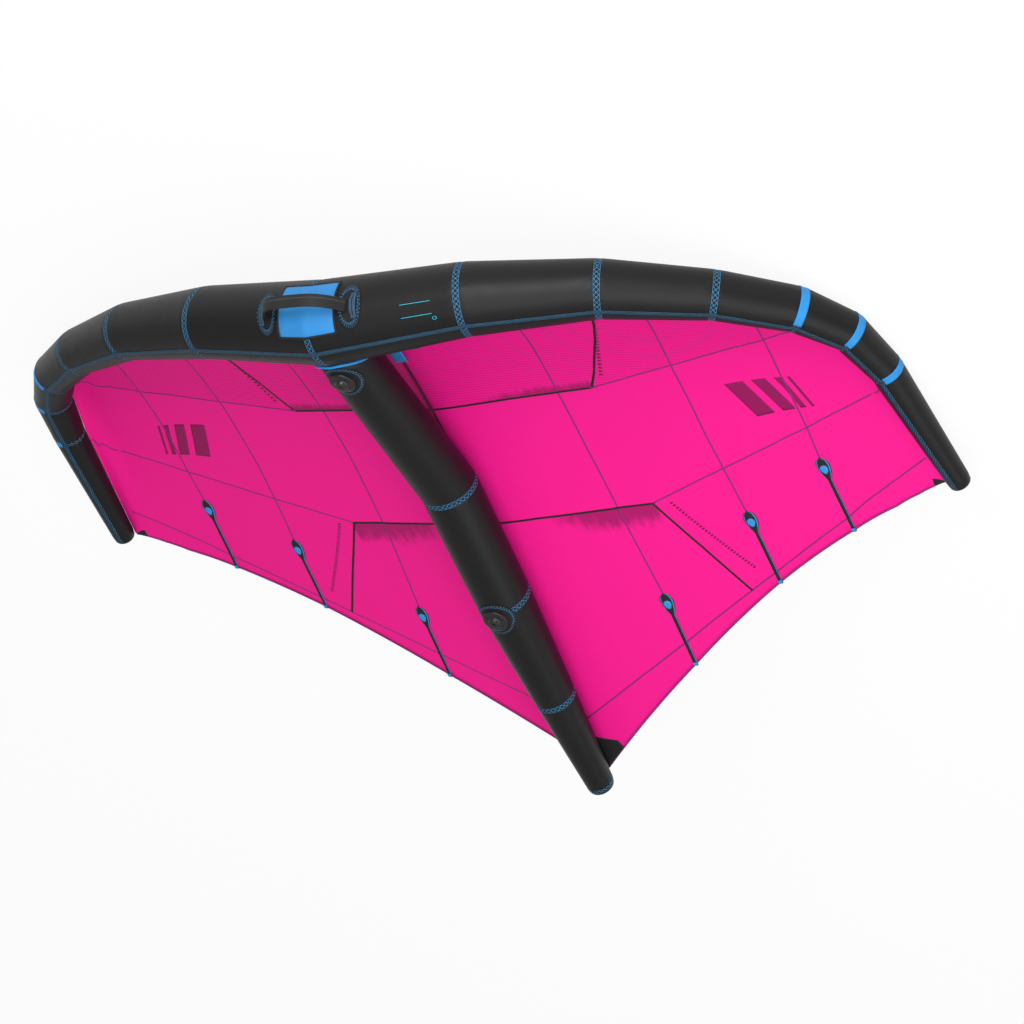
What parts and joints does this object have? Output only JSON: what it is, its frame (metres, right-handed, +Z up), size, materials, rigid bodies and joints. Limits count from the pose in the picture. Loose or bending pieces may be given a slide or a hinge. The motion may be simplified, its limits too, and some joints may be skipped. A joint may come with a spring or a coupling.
{
  "type": "inflatable wing",
  "caption": "Hand-held inflatable wing with an arched tube leading edge, a centre strut, a sewn fabric canopy, stiffening battens, a front handle and an inflation valve.",
  "frame": {"origin": "on the ground, under the middle of the wing's box, with the wing parked belly side up on its two curved tips", "axes": "+X along the span, to the right of a person who faces the nose's way; -Y the way the nose points; +Z up, which is the belly side, where the strut and its mount plates are"},
  "size_m": [3.1528, 2.3558, 0.5319],
  "materials": {
    "tube_fabric": "black coated polyester",
    "canopy_fabric": "hot pink ripstop",
    "bladder_film": "translucent film",
    "patch_fabric": "black reinforcement cloth",
    "blue_piping": "blue sewn cord",
    "pad_foam": "blue soft pad",
    "handle_webbing": "black padded webbing",
    "black_plastic": "moulded black plastic",
    "batten_fibre": "glass fibre strip",
    "brass": "turned insert",
    "valve_plastic": "moulded valve plastic",
    "hose_rubber": "soft hose"
  },
  "bodies": {
    "wing": {"batten_left_1": "batten_fibre", "batten_left_2": "batten_fibre", "batten_left_3": "batten_fibre", "batten_right_1": "batten_fibre", "batten_right_2": "batten_fibre", "batten_right_3": "batten_fibre", "batten_sleeve_left_1": "patch_fabric", "batten_sleeve_left_2": "patch_fabric", "batten_sleeve_left_3": "patch_fabric", "batten_sleeve_right_1": "patch_fabric", "batten_sleeve_right_2": "patch_fabric", "batten_sleeve_right_3": "patch_fabric", "canopy_front_left": "canopy_fabric", "canopy_front_right": "canopy_fabric", "canopy_middle_left": "canopy_fabric", "canopy_middle_right": "canopy_fabric", "canopy_rear_left": "canopy_fabric", "canopy_rear_right": "canopy_fabric", "centre_web": "tube_fabric", "handle_anchor_left": "patch_fabric", "handle_anchor_right": "patch_fabric", "handle_tab_left": "handle_webbing", "handle_tab_right": "handle_webbing", "le_bladder": "bladder_film", "le_panel_left_1": "tube_fabric", "le_panel_left_2": "tube_fabric", "le_panel_left_3": "tube_fabric", "le_panel_left_4": "tube_fabric", "le_panel_left_5": "tube_fabric", "le_panel_left_6": "tube_fabric", "le_panel_left_7": "tube_fabric", "le_panel_right_1": "tube_fabric", "le_panel_right_2": "tube_fabric", "le_panel_right_3": "tube_fabric", "le_panel_right_4": "tube_fabric", "le_panel_right_5": "tube_fabric", "le_panel_right_6": "tube_fabric", "le_panel_right_7": "tube_fabric", "mount_insert_front": "brass", "mount_insert_rear": "brass", "mount_patch_front": "patch_fabric", "mount_patch_rear": "patch_fabric", "mount_plate_front": "black_plastic", "mount_plate_rear": "black_plastic", "nose_pad": "pad_foam", "strut_bladder": "bladder_film", "strut_joint_piping": "blue_piping", "strut_panel_1": "tube_fabric", "strut_panel_2": "tube_fabric", "strut_panel_3": "tube_fabric", "strut_panel_4": "tube_fabric", "strut_tail_cap": "tube_fabric", "tip_cap_left": "tube_fabric", "tip_cap_right": "tube_fabric", "transfer_hose": "hose_rubber", "valve_base": "valve_plastic"},
    "handle": {"front_handle": "handle_webbing"},
    "valve_cap": {"valve_cap": "valve_plastic"},
    "valve_plug": {"valve_plug": "valve_plastic"}
  },
  "joints": [
    {"name": "handle_swing", "type": "hinge", "parent": "wing", "child": "handle", "pos_m": [0, -1.08263, 0.40547], "axis": [1, 0, 0], "range_deg": [-20, 20], "stiffness_Nm_per_rad": 0.2},
    {"name": "valve_cap_flip", "type": "hinge", "parent": "wing", "child": "valve_cap", "pos_m": [-0.26913, -0.8347, 0.34445], "axis": [0, -0.1545, 0.988], "range_deg": [0, 140]},
    {"name": "valve_plug_turn", "type": "hinge", "parent": "wing", "child": "valve_plug", "pos_m": [-0.24353, -0.83427, 0.34452], "axis": [-0.0169, 0.9879, 0.1545], "range_deg": [0, 90]}
  ]
}
